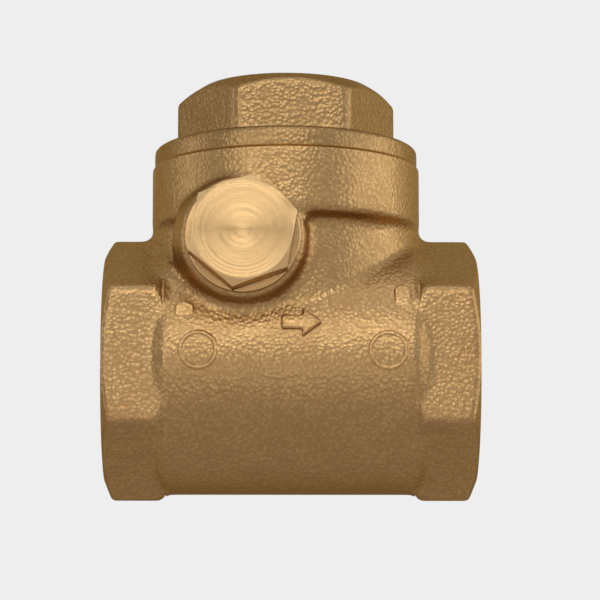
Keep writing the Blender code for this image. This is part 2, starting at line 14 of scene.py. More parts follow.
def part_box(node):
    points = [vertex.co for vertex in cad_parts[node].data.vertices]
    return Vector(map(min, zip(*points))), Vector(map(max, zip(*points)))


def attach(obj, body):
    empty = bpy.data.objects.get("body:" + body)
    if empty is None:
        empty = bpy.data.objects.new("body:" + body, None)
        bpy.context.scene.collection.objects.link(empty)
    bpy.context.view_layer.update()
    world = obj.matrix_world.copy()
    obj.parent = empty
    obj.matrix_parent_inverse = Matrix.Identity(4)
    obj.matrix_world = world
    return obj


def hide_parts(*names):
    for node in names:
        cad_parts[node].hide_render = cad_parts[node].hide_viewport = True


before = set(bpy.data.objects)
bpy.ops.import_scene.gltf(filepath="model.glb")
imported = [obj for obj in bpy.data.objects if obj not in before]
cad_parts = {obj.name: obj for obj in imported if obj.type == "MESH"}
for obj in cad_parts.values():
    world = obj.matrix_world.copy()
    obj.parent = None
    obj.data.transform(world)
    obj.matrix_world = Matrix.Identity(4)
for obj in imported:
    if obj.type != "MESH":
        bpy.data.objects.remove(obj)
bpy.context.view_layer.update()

MM = 0.001
TAU = 2 * math.pi
ROUND_STEPS = 128
SMALL_STEPS = 64
PAST = 0.5 * MM  # how far a cutter or a form to be trimmed runs past a face
CLEARANCE = 0.3 * MM  # between pieces that touch on the real valve
CREASE_ANGLE = math.radians(30)

# Rounds of edges
HAIR = 0.1 * MM
FINE = 0.15 * MM
SMALL = 0.2 * MM
BROKEN = 0.3 * MM
BORED = 0.4 * MM


def box_of(node):
    """A solid's lowest corner, highest corner and middle."""
    low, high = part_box(node)
    return low, high, (low + high) / 2


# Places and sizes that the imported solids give
BODY_LOW, BODY_HIGH, _ = box_of("body")
CAP_LOW, CAP_HIGH, CAP_MIDDLE = box_of("bonnet_cap")
GASKET_LOW, GASKET_HIGH, _ = box_of("bonnet_gasket")
PLUG_LOW, PLUG_HIGH, _ = box_of("hinge_pin_plug")
PLUG_GASKET_LOW, PLUG_GASKET_HIGH, _ = box_of("plug_gasket")
PIN_LOW, PIN_HIGH, PIN_MIDDLE = box_of("hinge_pin")
_, HANGER_HIGH, _ = box_of("disc_hanger")
HOLDER_LOW, HOLDER_HIGH, _ = box_of("disc_holder")
RUBBER_LOW, RUBBER_HIGH, _ = box_of("seat_disc")

HALF_LENGTH = BODY_HIGH.x
COLLAR_RADIUS = BODY_HIGH.y
NECK_TOP = BODY_HIGH.z
BOSS_FACE = -BODY_LOW.y
NECK_X = CAP_MIDDLE.x
HINGE_X = PIN_MIDDLE.x
HINGE_Z = PIN_MIDDLE.z
FLOW = (0, 0, 0)
NECK = (NECK_X, 0, 0)
HINGE = (HINGE_X, 0, HINGE_Z)

# Pipe ends
HEX_FLATS = 41.0 * MM
HEX_LENGTH = 9.6 * MM
HEX_FACE_RADIUS = 20.1 * MM
HEX_FACE_ANGLE = math.radians(22)
HEX_EDGE_ROUND = 0.8 * MM
PIPE_PITCH = 2.309 * MM
PIPE_CREST = 15.15 * MM
PIPE_ROOT = 16.6 * MM
PIPE_MOUTH = 17.0 * MM
THREAD_END = 19.5 * MM
RELIEF_WIDTH = 2.0 * MM
RELIEF_RADIUS = 16.8 * MM
END_FACING_RADIUS = COLLAR_RADIUS + 3 * MM

# Barrel, seat and neck
BARREL_RADIUS = 22.2 * MM
BARREL_OVERLAP = 0.9 * MM  # how far the barrel runs into each hexagon
BARREL_END_DROP = 0.3 * MM  # how far its end faces stay under the hexagon's flats
CHAMBER_RADIUS = 18.0 * MM
CHAMBER_START = -13.5 * MM
CHAMBER_ROUND = 0.8 * MM
SEAT_PLANE = -12.5 * MM
PORT_RADIUS = 11.5 * MM
SEAT_LIP_RADIUS = 12.7 * MM
SHELF_HEIGHT = 17.05 * MM
NECK_HALF_LENGTH = 23.8 * MM
NECK_HALF_WIDTH = 20.4 * MM
NECK_BORE = 16.5 * MM
COLLAR_BORE = 18.8 * MM
NECK_THREAD_DEPTH = 0.8 * MM
COLLAR_BOTTOM = NECK_TOP - 12.0 * MM
COLLAR_SLOPE = 0.7 * MM
COLLAR_ROUND = 1.2 * MM
BARREL_ROUND = 2.4 * MM
BONNET_RECESS = 21.8 * MM
BONNET_RECESS_DEPTH = 1.5 * MM
GROOVE_X = 22.3 * MM
GROOVE_TOP = 13.4 * MM
GROOVE_HALF_WIDTH = 1.0 * MM
GROOVE_HEIGHT = 2.0 * MM

# Bosses and plug
BOSS_RADIUS = 10.6 * MM
BOSS_DRAFT = 2.2 * MM
BOSS_ROUND = 1.3 * MM
REAR_BOSS_RADIUS = 7.0 * MM
REAR_BOSS_FACE = 21.6 * MM
PLUG_RECESS = 8.9 * MM
PLUG_RECESS_DEPTH = 1.2 * MM
PLUG_HOLE = 6.7 * MM
PLUG_THREAD = 6.4 * MM
PLUG_UNDERCUT = 5.8 * MM
PLUG_PITCH = 1.0 * MM
FINE_THREAD_DEPTH = 0.55 * MM  # of the plug's shank and the disc's studs
BOSS_THREAD_DEPTH = 0.5 * MM
PLUG_FLANGE_RADIUS = 10.0 * MM
PLUG_FLANGE_HEIGHT = 1.5 * MM
PLUG_FLATS = 17.3 * MM
PLUG_TURN = math.radians(20)
PLUG_FACE_RADIUS = 8.5 * MM
PLUG_HEAD_CHAMFER = 0.8 * MM
PLUG_EDGE = 0.12 * MM
PLUG_SEAT = 24.3 * MM
PLUG_PIN_DEPTH = 4.0 * MM
PIN_RADIUS = PIN_HIGH.x - HINGE_X
PIN_CHAMFER = 0.4 * MM
PIN_BORE = PIN_RADIUS + CLEARANCE
PIN_HOLE_END = 17.32 * MM

# Bonnet cap
FLANGE_BOTTOM = NECK_TOP + 0.16 * MM
JOINT_CHAMFER = 0.22 * MM
FLANGE_TOP = NECK_TOP + 3.9 * MM
FLANGE_RADIUS = CAP_HIGH.y
FLANGE_CHAMFER = 1.2 * MM
CAP_TOP = CAP_HIGH.z
CAP_FLATS = 34.5 * MM
CAP_TURN = math.radians(3.6)
CAP_FACE_RADIUS = 15.0 * MM
CAP_CHAMFER_HEIGHT = 3.2 * MM
CAP_EDGE_ROUND = 1.2 * MM
CAP_THREAD = 18.5 * MM
CAP_PITCH = 2.0 * MM
CAP_THREAD_DEPTH = 0.9 * MM
CAP_LEAD_IN = 0.8 * MM
CAP_BORE = 15.3 * MM
CAP_ROOF = 4.5 * MM
CAP_HOLLOW_CONE = 3.2 * MM
CAP_HOLLOW_ROUND = 0.6 * MM

# Clapper
STUD_RADIUS = 3.0 * MM
STUD_PITCH = 1.0 * MM
STUD_BORE = 3.3 * MM
HOLDER_RADIUS = HOLDER_HIGH.z
HOLDER_FRONT = -11.5 * MM
HOLDER_FLOOR = -9.4 * MM
HOLDER_END = -7.0 * MM
HOLDER_CUP = 13.8 * MM
HOLDER_ROUND = 0.9 * MM
RUBBER_RADIUS = RUBBER_HIGH.z
EYE_RADIUS = 6.2 * MM
EYE_FRONT = -6.7 * MM
EYE_BACK = -3.7 * MM
EYE_BORE_END = -8.0 * MM
SHANK_WIDTH = 9.0 * MM
SHANK_THICKNESS = 2.5 * MM
KNUCKLE_RADIUS = 4.0 * MM
NUT_FLATS = 10.0 * MM
NUT_EDGE = 0.08 * MM
NUT_THREAD_DEPTH = 0.3 * MM
WASHER_RADIUS = 5.5 * MM
WASHER_ROUND = 0.25 * MM
RUBBER_ROUND = 0.5 * MM
PRINT_DEPTH = 0.12 * MM

# Marks raised on the barrel, as places along it and round it
RING_MARKS = ((-16.04 * MM, 0.57 * MM), (16.89 * MM, 0.51 * MM))
RING_MARK_RADIUS = 3.1 * MM
RING_MARK_FOOT = 0.45 * MM
RING_MARK_PROUD = 0.2 * MM
ARROW_AT = (1.9 * MM, 5.5 * MM)
ARROW_LENGTH = 7.2 * MM
ARROW_WIDTH = 5.6 * MM
ARROW_PROUD = 0.7 * MM
LUG_CORNER = 0.8 * MM
LUG_PROUD = 0.6 * MM
MARK_SUNK = 0.6 * MM

# Each lug's left, right, low and high
LUGS = {
    "inlet_lug": (-20.2 * MM, -16.7 * MM, 6.4 * MM, 9.4 * MM),
    "outlet_lug": (17.9 * MM, 21.0 * MM, 8.6 * MM, 13.0 * MM),
}

# The photograph's camera
CAMERA_AZIMUTH = -0.39
CAMERA_ELEVATION = -9.19
CAMERA_DISTANCE = 600 * MM
CAMERA_TARGET = Vector((1.71, 0, 12.81)) * MM
CAMERA_LENS = 200.5

# Each softbox's azimuth, elevation, distance, width, height and brightness
SOFTBOXES = {
    "key": (0, 28, 1.1, 0.7, 0.42, 2.55),
    "high": (0, 70, 1.1, 0.7, 0.35, 0.95),
    "low": (0, -10, 0.5, 0.32, 0.1, 1.1),
    "front_left": (-35, 12, 1.0, 0.3, 0.8, 1.6),
    "inlet": (-90, 12, 1.0, 0.3, 0.8, 1.25),
    "front_right": (65, 12, 1.0, 0.3, 0.8, 1.1),
    "outlet": (95, 12, 1.0, 0.3, 0.8, 1.45),
}
SOFTBOX_AIM = Vector((0, 0, 13 * MM))
FLOOR_HEIGHT = -0.1
FLOOR_HALF_SIZE = 3


def shape(name, bm, finish=None):
    """Turns a finished bmesh into an object at the origin."""
    bmesh.ops.remove_doubles(bm, verts=bm.verts, dist=0.0005 * MM)
    bmesh.ops.recalc_face_normals(bm, faces=bm.faces)
    mesh = bpy.data.meshes.new(name)
    bm.to_mesh(mesh)
    bm.free()
    if finish:
        mesh.materials.append(finish)
    obj = bpy.data.objects.new(name, mesh)
    bpy.context.scene.collection.objects.link(obj)
    return obj


def place(bm, axis, at):
    """Points a form's own Z along X, -X, -Y or Z and moves it there."""
    turn = {
        "Z": Matrix.Identity(3),
        "X": Matrix.Rotation(math.radians(90), 3, "Y"),
        "-X": Matrix.Rotation(math.radians(-90), 3, "Y"),
        "-Y": Matrix.Rotation(math.radians(90), 3, "X"),
    }[axis]
    bmesh.ops.rotate(bm, matrix=turn, verts=bm.verts)
    bmesh.ops.translate(bm, vec=at, verts=bm.verts)


def softened(corners, steps=4):
    """A profile whose corners, given as (radius, height) or with a round, are arcs."""
    points = []
    for i, (radius, height, *size) in enumerate(corners):
        here = Vector((radius, height))
        if not size:
            points.append(here)
            continue
        before = Vector(corners[i - 1][:2]) - here
        after = Vector(corners[(i + 1) % len(corners)][:2]) - here
        reach = min(size[0], before.length * 0.49, after.length * 0.49)
        start = here + before.normalized() * reach
        end = here + after.normalized() * reach
        for step in range(steps + 1):
            t = step / steps
            points.append((1 - t) ** 2 * start + 2 * t * (1 - t) * here + t**2 * end)
    return points


def block(name, size, at, finish=None):
    """A box of one size round its middle."""
    bm = bmesh.new()
    bmesh.ops.create_cube(bm, size=1)
    bmesh.ops.scale(bm, vec=size, verts=bm.verts)
    place(bm, "Z", at)
    return shape(name, bm, finish)


def turned(name, corners, axis="Z", at=(0, 0, 0), finish=None, steps=ROUND_STEPS):
    """A turned solid. An open profile starts and ends on its axis."""
    points = softened(corners)
    bm = bmesh.new()
    verts = [bm.verts.new((point[0], 0, point[1])) for point in points]
    pairs = list(zip(verts, verts[1:]))
    if points[0][0] > 0:
        pairs.append((verts[-1], verts[0]))
    edges = [bm.edges.new(pair) for pair in pairs]
    bmesh.ops.spin(
        bm,
        geom=verts + edges,
        cent=(0, 0, 0),
        axis=(0, 0, 1),
        angle=TAU,
        steps=steps,
        use_merge=True,
    )
    place(bm, axis, at)
    return shape(name, bm, finish)


def hexagon(name, flats, low, high, axis, at, turn, edge_round, finish=None):
    """A hexagon bar. With no turn, two of its corners lie on its own X."""
    bm = bmesh.new()
    radius = flats / math.sqrt(3)
    bmesh.ops.create_cone(
        bm, cap_ends=True, segments=6, radius1=radius, radius2=radius, depth=high - low
    )
    bm.verts.ensure_lookup_table()
    corner = math.atan2(bm.verts[0].co.y, bm.verts[0].co.x)
    bmesh.ops.rotate(bm, matrix=Matrix.Rotation(turn - corner, 3, "Z"), verts=bm.verts)
    bmesh.ops.translate(bm, vec=(0, 0, (low + high) / 2), verts=bm.verts)
    upright = [e for e in bm.edges if abs(e.verts[0].co.z - e.verts[1].co.z) > MM / 10]
    bmesh.ops.bevel(
        bm,
        geom=upright,
        offset=edge_round,
        offset_type="OFFSET",
        segments=4,
        profile=0.5,
        affect="EDGES",
        material=-1,
    )
    place(bm, axis, at)
    return shape(name, bm, finish)


def threaded(name, crest, root, pitch, low, high, axis, at, finish, steps=96):
    """A bar with a right-hand thread: one column of teeth, spun along a helix."""
    tooth = [(0, root), (1 / 6, root), (1 / 2, crest), (2 / 3, crest)]  # shares of the pitch
    bm = bmesh.new()
    column = [
        bm.verts.new((radius, 0, low + (turn - 2 + share) * pitch))
        for turn in range(math.ceil((high - low) / pitch) + 5)
        for share, radius in tooth
    ]
    edges = [bm.edges.new(pair) for pair in zip(column, column[1:])]
    bmesh.ops.spin(
        bm,
        geom=column + edges,
        cent=(0, 0, 0),
        axis=(0, 0, 1),
        dvec=(0, 0, pitch / steps),
        angle=TAU,
        steps=steps,
        use_merge=False,
    )
    bmesh.ops.remove_doubles(bm, verts=bm.verts, dist=0.001 * MM)
    for height, outward in ((low, -1), (high, 1)):
        bmesh.ops.bisect_plane(
            bm,
            geom=bm.verts[:] + bm.edges[:] + bm.faces[:],
            plane_co=(0, 0, height),
            plane_no=(0, 0, outward),
            clear_outer=True,
        )
        rim = [e for e in bm.edges if e.is_boundary and abs(e.verts[0].co.z - height) < MM / 1000]
        bmesh.ops.edgeloop_fill(bm, edges=rim)
    place(bm, axis, at)
    return shape(name, bm, finish)


def applied(obj):
    """Makes an object's modifiers its mesh."""
    graph = bpy.context.evaluated_depsgraph_get()
    mesh = bpy.data.meshes.new_from_object(obj.evaluated_get(graph))
    obj.modifiers.clear()
    old, obj.data = obj.data, mesh
    mesh.name = obj.name
    bpy.data.meshes.remove(old)
    return obj


def boolean(obj, operation, others):
    """Joins or cuts with other forms, which are used up and leave their finish."""
    for other in others:
        modifier = obj.modifiers.new(operation.lower(), "BOOLEAN")
        modifier.operation = operation
        modifier.object = other
        modifier.solver = "MANIFOLD"
        modifier.material_mode = "TRANSFER"
    applied(obj)
    for other in others:
        bpy.data.objects.remove(other)
    return obj


def cast(obj, finish, grain, fillet, edge, keep=1.0):
    """Gives a form the fillets and round edges of a forging, in cells of one grain.

    Growing and shrinking by the fillet fills its inner corners, and shrinking and
    growing by the edge rounds its outer ones. The share keep of its faces stays.
    """
    tree = bpy.data.node_groups.new("casting", "GeometryNodeTree")
    for way in ("INPUT", "OUTPUT"):
        tree.interface.new_socket("Geometry", in_out=way, socket_type="NodeSocketGeometry")
    last = tree.nodes.new("NodeGroupInput").outputs[0]
    for distance in (fillet, -fillet - edge, edge):
        field = tree.nodes.new("GeometryNodeMeshToSDFGrid")
        field.inputs["Voxel Size"].default_value = grain
        field.inputs["Band Width"].default_value = math.ceil((fillet + edge) / grain) + 3
        skin = tree.nodes.new("GeometryNodeGridToMesh")
        skin.inputs["Threshold"].default_value = distance
        tree.links.new(last, field.inputs[0])
        tree.links.new(field.outputs[0], skin.inputs[0])
        last = skin.outputs[0]
    tree.links.new(last, tree.nodes.new("NodeGroupOutput").inputs[0])
    obj.modifiers.new("casting", "NODES").node_group = tree
    smooth = obj.modifiers.new("smooth", "SMOOTH")
    smooth.iterations = 8
    if keep < 1:
        fewer = obj.modifiers.new("fewer faces", "DECIMATE")
        fewer.ratio = keep
    applied(obj)
    obj.data.materials.clear()
    obj.data.materials.append(finish)
    return obj


def finish_piece(obj, node, body, soft=None):
    """Makes a form the visible piece that stands for a solid.

    Steep edges and edges between two finishes are creases. Edges inside the soft
    finish never are.
    """
    obj.name = obj.data.name = node + "_piece"
    bm = bmesh.new()
    bm.from_mesh(obj.data)
    finishes = list(obj.data.materials)
    for edge in bm.edges:
        sides = {finishes[face.material_index] for face in edge.link_faces}
        flat = edge.calc_face_angle(0) < CREASE_ANGLE
        edge.smooth = sides == {soft} or (len(sides) == 1 and flat)
    for face in bm.faces:
        face.smooth = True
    bm.to_mesh(obj.data)
    bm.free()
    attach(obj, body)
    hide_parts(node)
    return obj


class Value:
    """A socket of some nodes, reckoned with as a number."""

    def __init__(self, nodes, socket):
        self.nodes = nodes
        self.socket = socket

    def __add__(self, other):
        return self.nodes.maths("ADD", self, other)

    def __sub__(self, other):
        return self.nodes.maths("SUBTRACT", self, other)

    def __rsub__(self, other):
        return self.nodes.maths("SUBTRACT", other, self)

    def __mul__(self, other):
        return self.nodes.maths("MULTIPLY", self, other)

    __radd__ = __add__
    __rmul__ = __mul__


class Nodes:
    """The nodes of one material or of the world, round its own shader."""

    def __init__(self, owner, shader="Principled BSDF"):
        owner.use_nodes = True
        self.owner = owner
        self.tree = owner.node_tree
        self.shader = self.tree.nodes[shader]

    def feed(self, socket, value):
        if isinstance(value, Value):
            self.tree.links.new(value.socket, socket)
        else:
            socket.default_value = value

    def node(self, kind, settings=None, inputs=None, output=0):
        """Adds a node: first its settings, then the values and links of its sockets."""
        node = self.tree.nodes.new("ShaderNode" + kind)
        for name, value in (settings or {}).items():
            setattr(node, name, value)
        for name, value in (inputs or {}).items():
            self.feed(node.inputs[name], value)
        return Value(self, node.outputs[output])

    def maths(self, operation, *values):
        return self.node("Math", {"operation": operation}, dict(enumerate(values)))

    def mix(self, share, first, second):
        """Mixes two colours, which are the node's inputs 6 and 7."""
        return self.node("Mix", {"data_type": "RGBA"}, {0: share, 6: first, 7: second}, 2)

    def between(self, value, low, high):
        """A soft step from 0 at low to 1 at high."""
        inputs = {"Value": value, "From Min": low, "From Max": high}
        return self.node("MapRange", {"interpolation_type": "SMOOTHSTEP"}, inputs)

    def place(self):
        return self.node("TexCoord", output="Object")

    def noise(self, place, size, detail=2.0, roughness=0.5):
        """Cloudy noise with features of about one size."""
        inputs = {"Vector": place, "Scale": 1 / size, "Detail": detail, "Roughness": roughness}
        return self.node("TexNoise", {}, inputs)

    def bump(self, height, distance):
        inputs = {"Height": height, "Distance": distance, "Strength": 1.0}
        return self.node("Bump", {}, inputs)

    def looks(self, **sockets):
        """Sets the shader's sockets, named with underscores, and gives the material."""
        for name, value in sockets.items():
            self.feed(self.shader.inputs[name.replace("_", " ")], value)
        return self.owner


def new_finish(name):
    return Nodes(bpy.data.materials.new(name))


def grey(value):
    return (value, value, value, 1)


def blasted_brass(name, tone_scale):
    """Forged brass after shot blasting: a sandy grain, dull in its hollows, with some tarnish.

    The last argument scales how bright it is: above 1 it paints a highlight on the raised marks,
    and below 1 it is darker, as on the cap.
    """
    n = new_finish(name)
    at = n.place()
    grains = n.noise(at, 0.5 * MM, 3, 0.55)
    cells = {"Vector": at, "Scale": 1 / (0.68 * MM), "Smoothness": 0.3, "Randomness": 1.0}
    dimples = n.node("TexVoronoi", {"feature": "SMOOTH_F1"}, cells, "Distance")
    rims = n.between(grains - dimples * 0.9, -0.1, 0.45)
    patches = n.between(n.noise(at, 6 * MM, 3), 0.35, 0.7)
    tarnish = n.between(n.noise(at, 11 * MM, 2), 0.5, 0.75)

    def tone(red, green, blue):
        return (red * tone_scale, green * tone_scale, blue * tone_scale, 1)

    colour = n.mix(rims, tone(0.455, 0.28, 0.118), tone(0.585, 0.373, 0.163))
    colour = n.mix(patches * 0.3, colour, tone(0.42, 0.255, 0.105))
    colour = n.mix(tarnish * 0.3, colour, tone(0.41, 0.20, 0.085))
    return n.looks(
        Base_Color=colour,
        Metallic=1.0,
        Roughness=0.37 + patches * 0.06 - rims * 0.08,
        Specular_Tint=(0.45, 0.36, 0.27, 1),
        Normal=n.bump(grains * 0.3 - dimples * 0.9, 0.1 * MM),
    )


def lathe_lines(n, axis, centre, pitch):
    """The lines of a tool that ran round an axis, on faces and along bores alike."""
    inputs = {0: n.place(), 1: centre}
    parts = n.node("VectorMath", {"operation": "SUBTRACT"}, inputs)
    split = n.node("SeparateXYZ", {}, {"Vector": parts})
    sockets = dict(zip("XYZ", split.socket.node.outputs))
    along = Value(n, sockets.pop(axis))
    first, second = (Value(n, socket) for socket in sockets.values())
    radius = n.maths("SQRT", first * first + second * second)
    way = (radius + along) * (1 / pitch)
    return n.node("TexNoise", {"noise_dimensions": "1D"}, {"W": way, "Scale": 1.0, "Detail": 2.0})


def turned_brass(name, axis, centre):
    """Freshly turned brass, with the lines of the tool."""
    n = new_finish(name)
    lines = lathe_lines(n, axis, centre, 0.11 * MM)
    film = n.noise(n.place(), 5 * MM, 3)
    return n.looks(
        Base_Color=n.mix(film, (0.62, 0.41, 0.18, 1), (0.72, 0.50, 0.24, 1)),
        Metallic=1.0,
        Roughness=0.22 + film * 0.14,
        Specular_Tint=(0.6, 0.5, 0.4, 1),
        Normal=n.bump(lines, 0.012 * MM),
    )


def bright_brass():
    """The plug's bright brass, faced off on the lathe, with painted shade darkening the corner by
    its collar.
    """
    n = new_finish("bright_brass")
    lines = lathe_lines(n, "Y", HINGE, 0.06 * MM)
    film = n.noise(n.place(), 3.5 * MM, 3)
    split = n.node("SeparateXYZ", {}, {"Vector": n.place()})
    depth = Value(n, split.socket.node.outputs["Y"])
    seat = -PLUG_SEAT - PLUG_FLANGE_HEIGHT
    near = n.between(depth, seat - 1.7 * MM, seat - 0.9 * MM)
    off = n.between(0 - depth, -seat, 0.1 * MM - seat)
    # Painted shade: the colour turns dark brown, and rougher, in the corner between the hex head
    # and its collar, where shadow falls.
    painted_shade = near * off * (0.6 + film * 0.5)
    colour = n.mix(film, (0.74, 0.475, 0.215, 1), (0.80, 0.54, 0.26, 1))
    return n.looks(
        Base_Color=n.mix(painted_shade, colour, (0.13, 0.065, 0.025, 1)),
        Metallic=1.0,
        Roughness=0.22 + film * 0.06 + painted_shade * 0.2,
        Specular_Tint=(0.6, 0.5, 0.4, 1),
        Normal=n.bump(lines, 0.025 * MM),
    )


def stainless():
    """Drawn and turned stainless steel, with fine streaks."""
    n = new_finish("stainless")
    drawn = n.noise(n.node("Mapping", {}, {"Vector": n.place(), "Scale": (1, 6, 1)}), 0.3 * MM, 3)
    film = n.noise(n.place(), 2 * MM)
    return n.looks(
        Base_Color=n.mix(film, (0.52, 0.51, 0.49, 1), (0.64, 0.63, 0.61, 1)),
        Metallic=1.0,
        Roughness=0.24 + drawn * 0.16,
        Normal=n.bump(drawn, 0.006 * MM),
    )


def rubber():
    """Moulded black rubber, with a pale bloom in places."""
    n = new_finish("rubber")
    grain = n.noise(n.place(), 0.25 * MM, 3, 0.6)
    bloom = n.between(n.noise(n.place(), 4 * MM, 3), 0.45, 0.8)
    return n.looks(
        Base_Color=n.mix(bloom, (0.018, 0.018, 0.019, 1), (0.045, 0.044, 0.043, 1)),
        Roughness=0.5 + bloom * 0.25,
        Normal=n.bump(grain, 0.02 * MM),
    )


def fibre():
    """Pressed red-brown gasket fibre."""
    n = new_finish("fibre")
    strands = n.noise(n.place(), 0.3 * MM, 4, 0.7)
    return n.looks(
        Base_Color=n.mix(strands, (0.16, 0.055, 0.035, 1), (0.38, 0.16, 0.10, 1)),
        Roughness=0.7 + strands * 0.2,
        Normal=n.bump(strands, 0.03 * MM),
    )


def pipe_ends_form():
    """Both hexagon ends: one bar, turned to a cone at its faces and shoulders."""
    radius = HEX_FLATS / math.sqrt(3)
    past = HALF_LENGTH + PAST
    slope = math.tan(HEX_FACE_ANGLE)
    shoulder = HALF_LENGTH - HEX_LENGTH
    core = (CHAMBER_RADIUS + BARREL_RADIUS) / 2
    half = [
        (HEX_FACE_RADIUS - PAST / slope, past),
        (radius, HALF_LENGTH - (radius - HEX_FACE_RADIUS) * slope),
        (radius, shoulder),
        (core, shoulder - (radius - core)),
    ]
    mirrored = [(r, -height) for r, height in reversed(half)]
    profile = [(0, past), *half, *mirrored, (0, -past)]
    bar = hexagon("pipe_ends", HEX_FLATS, -past, past, "X", FLOW, 0, HEX_EDGE_ROUND)
    return boolean(bar, "INTERSECT", [turned("outline", profile, "X")])


def barrel_form():
    """The round barrel, a little longer than the gap between the hexagons."""
    flat = HEX_FLATS / 2 - BARREL_END_DROP
    end = HALF_LENGTH - HEX_LENGTH + BARREL_OVERLAP
    full = end - (BARREL_RADIUS - flat)
    half = [(0, end), (flat, end), (BARREL_RADIUS, full, BARREL_ROUND)]
    mirrored = [(radius, -height, *size) for radius, height, *size in reversed(half)]
    return turned("barrel", half + mirrored, "X")


def neck_form():
    """The oval lower neck, round bar stretched along the flow."""
    bm = bmesh.new()
    top = COLLAR_BOTTOM + MM
    bmesh.ops.create_cone(
        bm, cap_ends=True, segments=ROUND_STEPS, radius1=1, radius2=1, depth=top
    )
    bmesh.ops.scale(bm, vec=(NECK_HALF_LENGTH, NECK_HALF_WIDTH, 1), verts=bm.verts)
    place(bm, "Z", (NECK_X, 0, top / 2))
    return shape("neck", bm)


def collar_form():
    """The round collar at the top of the neck, with a sloping lower face."""
    top = NECK_TOP + PAST
    profile = [
        (0, top),
        (COLLAR_RADIUS, top),
        (COLLAR_RADIUS, COLLAR_BOTTOM + COLLAR_SLOPE, COLLAR_ROUND),
        (NECK_HALF_WIDTH - COLLAR_SLOPE, COLLAR_BOTTOM),
        (0, COLLAR_BOTTOM),
    ]
    return turned("collar", profile, "Z", NECK)


def boss_form(name, radius, face, side):
    """A drafted boss on the hinge's axis, on the front (1) or the rear (-1)."""
    profile = [
        (0, face),
        (radius, face, BOSS_ROUND),
        (radius + BOSS_DRAFT, NECK_BORE),
        (0, NECK_BORE),
    ]
    points = [(r, side * height) for r, height in softened(profile)]
    return turned(name, points, "-Y", HINGE)


def facing(name, radius, face, axis, at, finish, chamfer=0.0):
    """What a facing cut takes off past a face, with the chamfer of its outer edge."""
    past, out = face + 4 * PAST, radius + MM
    profile = [
        (0, past),
        (out, past),
        (out, face - chamfer - MM),
        (radius - chamfer, face),
        (0, face),
    ]
    return turned(name, profile, axis, at, finish)


def flow_way(finish):
    """The plain bores along the pipe, with the mouths' chamfers and thread reliefs."""
    past = HALF_LENGTH + 2 * PAST
    mouth = PIPE_MOUTH + 2 * PAST
    mouth_end = HALF_LENGTH - (PIPE_MOUTH - PIPE_CREST)
    relief_end = THREAD_END + RELIEF_WIDTH
    profile = [
        (0, past),
        (mouth, past),
        (PIPE_CREST, mouth_end),
        (PIPE_CREST, relief_end),
        (RELIEF_RADIUS, relief_end, BROKEN),
        (RELIEF_RADIUS, THREAD_END),
        (CHAMBER_RADIUS, THREAD_END, BORED),
        (CHAMBER_RADIUS, CHAMBER_START, CHAMBER_ROUND),
        (SEAT_LIP_RADIUS, CHAMBER_START, SMALL),
        (SEAT_LIP_RADIUS, SEAT_PLANE, FINE),
        (PORT_RADIUS, SEAT_PLANE, FINE),
        (PORT_RADIUS, -THREAD_END, BORED),
        (RELIEF_RADIUS, -THREAD_END, BROKEN),
        (RELIEF_RADIUS, -relief_end),
        (PIPE_CREST, -relief_end),
        (PIPE_CREST, -mouth_end),
        (mouth, -past),
        (0, -past),
    ]
    return turned("flow_way", profile, "X", FLOW, finish)


def pipe_thread(axis, finish):
    """What the pipe thread of one end takes out, from its relief to past the face."""
    low, high = THREAD_END + RELIEF_WIDTH / 2, HALF_LENGTH + 2 * PAST
    return threaded(
        "pipe_thread", PIPE_ROOT, PIPE_CREST, PIPE_PITCH, low, high, axis, FLOW, finish
    )


def neck_way(finish):
    """What is bored down the neck. It stops at a shelf over the seat's wall."""
    skirt = CAP_LOW.z - CLEARANCE
    floor = NECK_TOP - BONNET_RECESS_DEPTH
    profile = [
        (0, NECK_TOP + PAST),
        (BONNET_RECESS, NECK_TOP + PAST),
        (BONNET_RECESS, floor),
        (COLLAR_BORE, floor),
        (COLLAR_BORE, skirt),
        (NECK_BORE, skirt, BORED),
        (NECK_BORE, 0),
        (0, 0),
    ]
    bore = turned("neck_way", profile, "Z", NECK, finish)
    size = (HALF_LENGTH, HALF_LENGTH * 2, 2 * SHELF_HEIGHT)
    middle = (SEAT_PLANE + CLEARANCE - HALF_LENGTH / 2, 0, 0)
    boolean(bore, "DIFFERENCE", [block("shelf", size, middle, finish)])
    crest, root = COLLAR_BORE + NECK_THREAD_DEPTH, COLLAR_BORE - HAIR
    end = floor + PAST
    thread = threaded("neck_thread", crest, root, CAP_PITCH, skirt, end, "Z", NECK, finish)
    return [bore, thread]


def pin_way(finish):
    """What is bored on the hinge's axis: the plug's hole and the pin's blind seat."""
    end = -PLUG_HIGH.y - CLEARANCE
    floor = BOSS_FACE - PLUG_RECESS_DEPTH
    profile = [
        (0, BOSS_FACE + PAST),
        (PLUG_RECESS, BOSS_FACE + PAST),
        (PLUG_RECESS, floor),
        (PLUG_HOLE, floor),
        (PLUG_HOLE, end),
        (PIN_BORE, end),
        (PIN_BORE, -PIN_HOLE_END),
        (0, -PIN_HOLE_END),
    ]
    bore = turned("pin_way", profile, "-Y", HINGE, finish, SMALL_STEPS)
    crest, root = PLUG_HOLE + BOSS_THREAD_DEPTH, PLUG_HOLE - HAIR
    top = floor + PAST
    thread = threaded("boss_thread", crest, root, PLUG_PITCH, end, top, "-Y", HINGE, finish)
    return [bore, thread]


def on_barrel(bm):
    """Wraps a flat form round the barrel: its -Y is how proud it stands, its Z the way round."""
    for vert in bm.verts:
        angle = vert.co.z / BARREL_RADIUS
        reach = BARREL_RADIUS - vert.co.y
        vert.co.y = -reach * math.cos(angle)
        vert.co.z = reach * math.sin(angle)


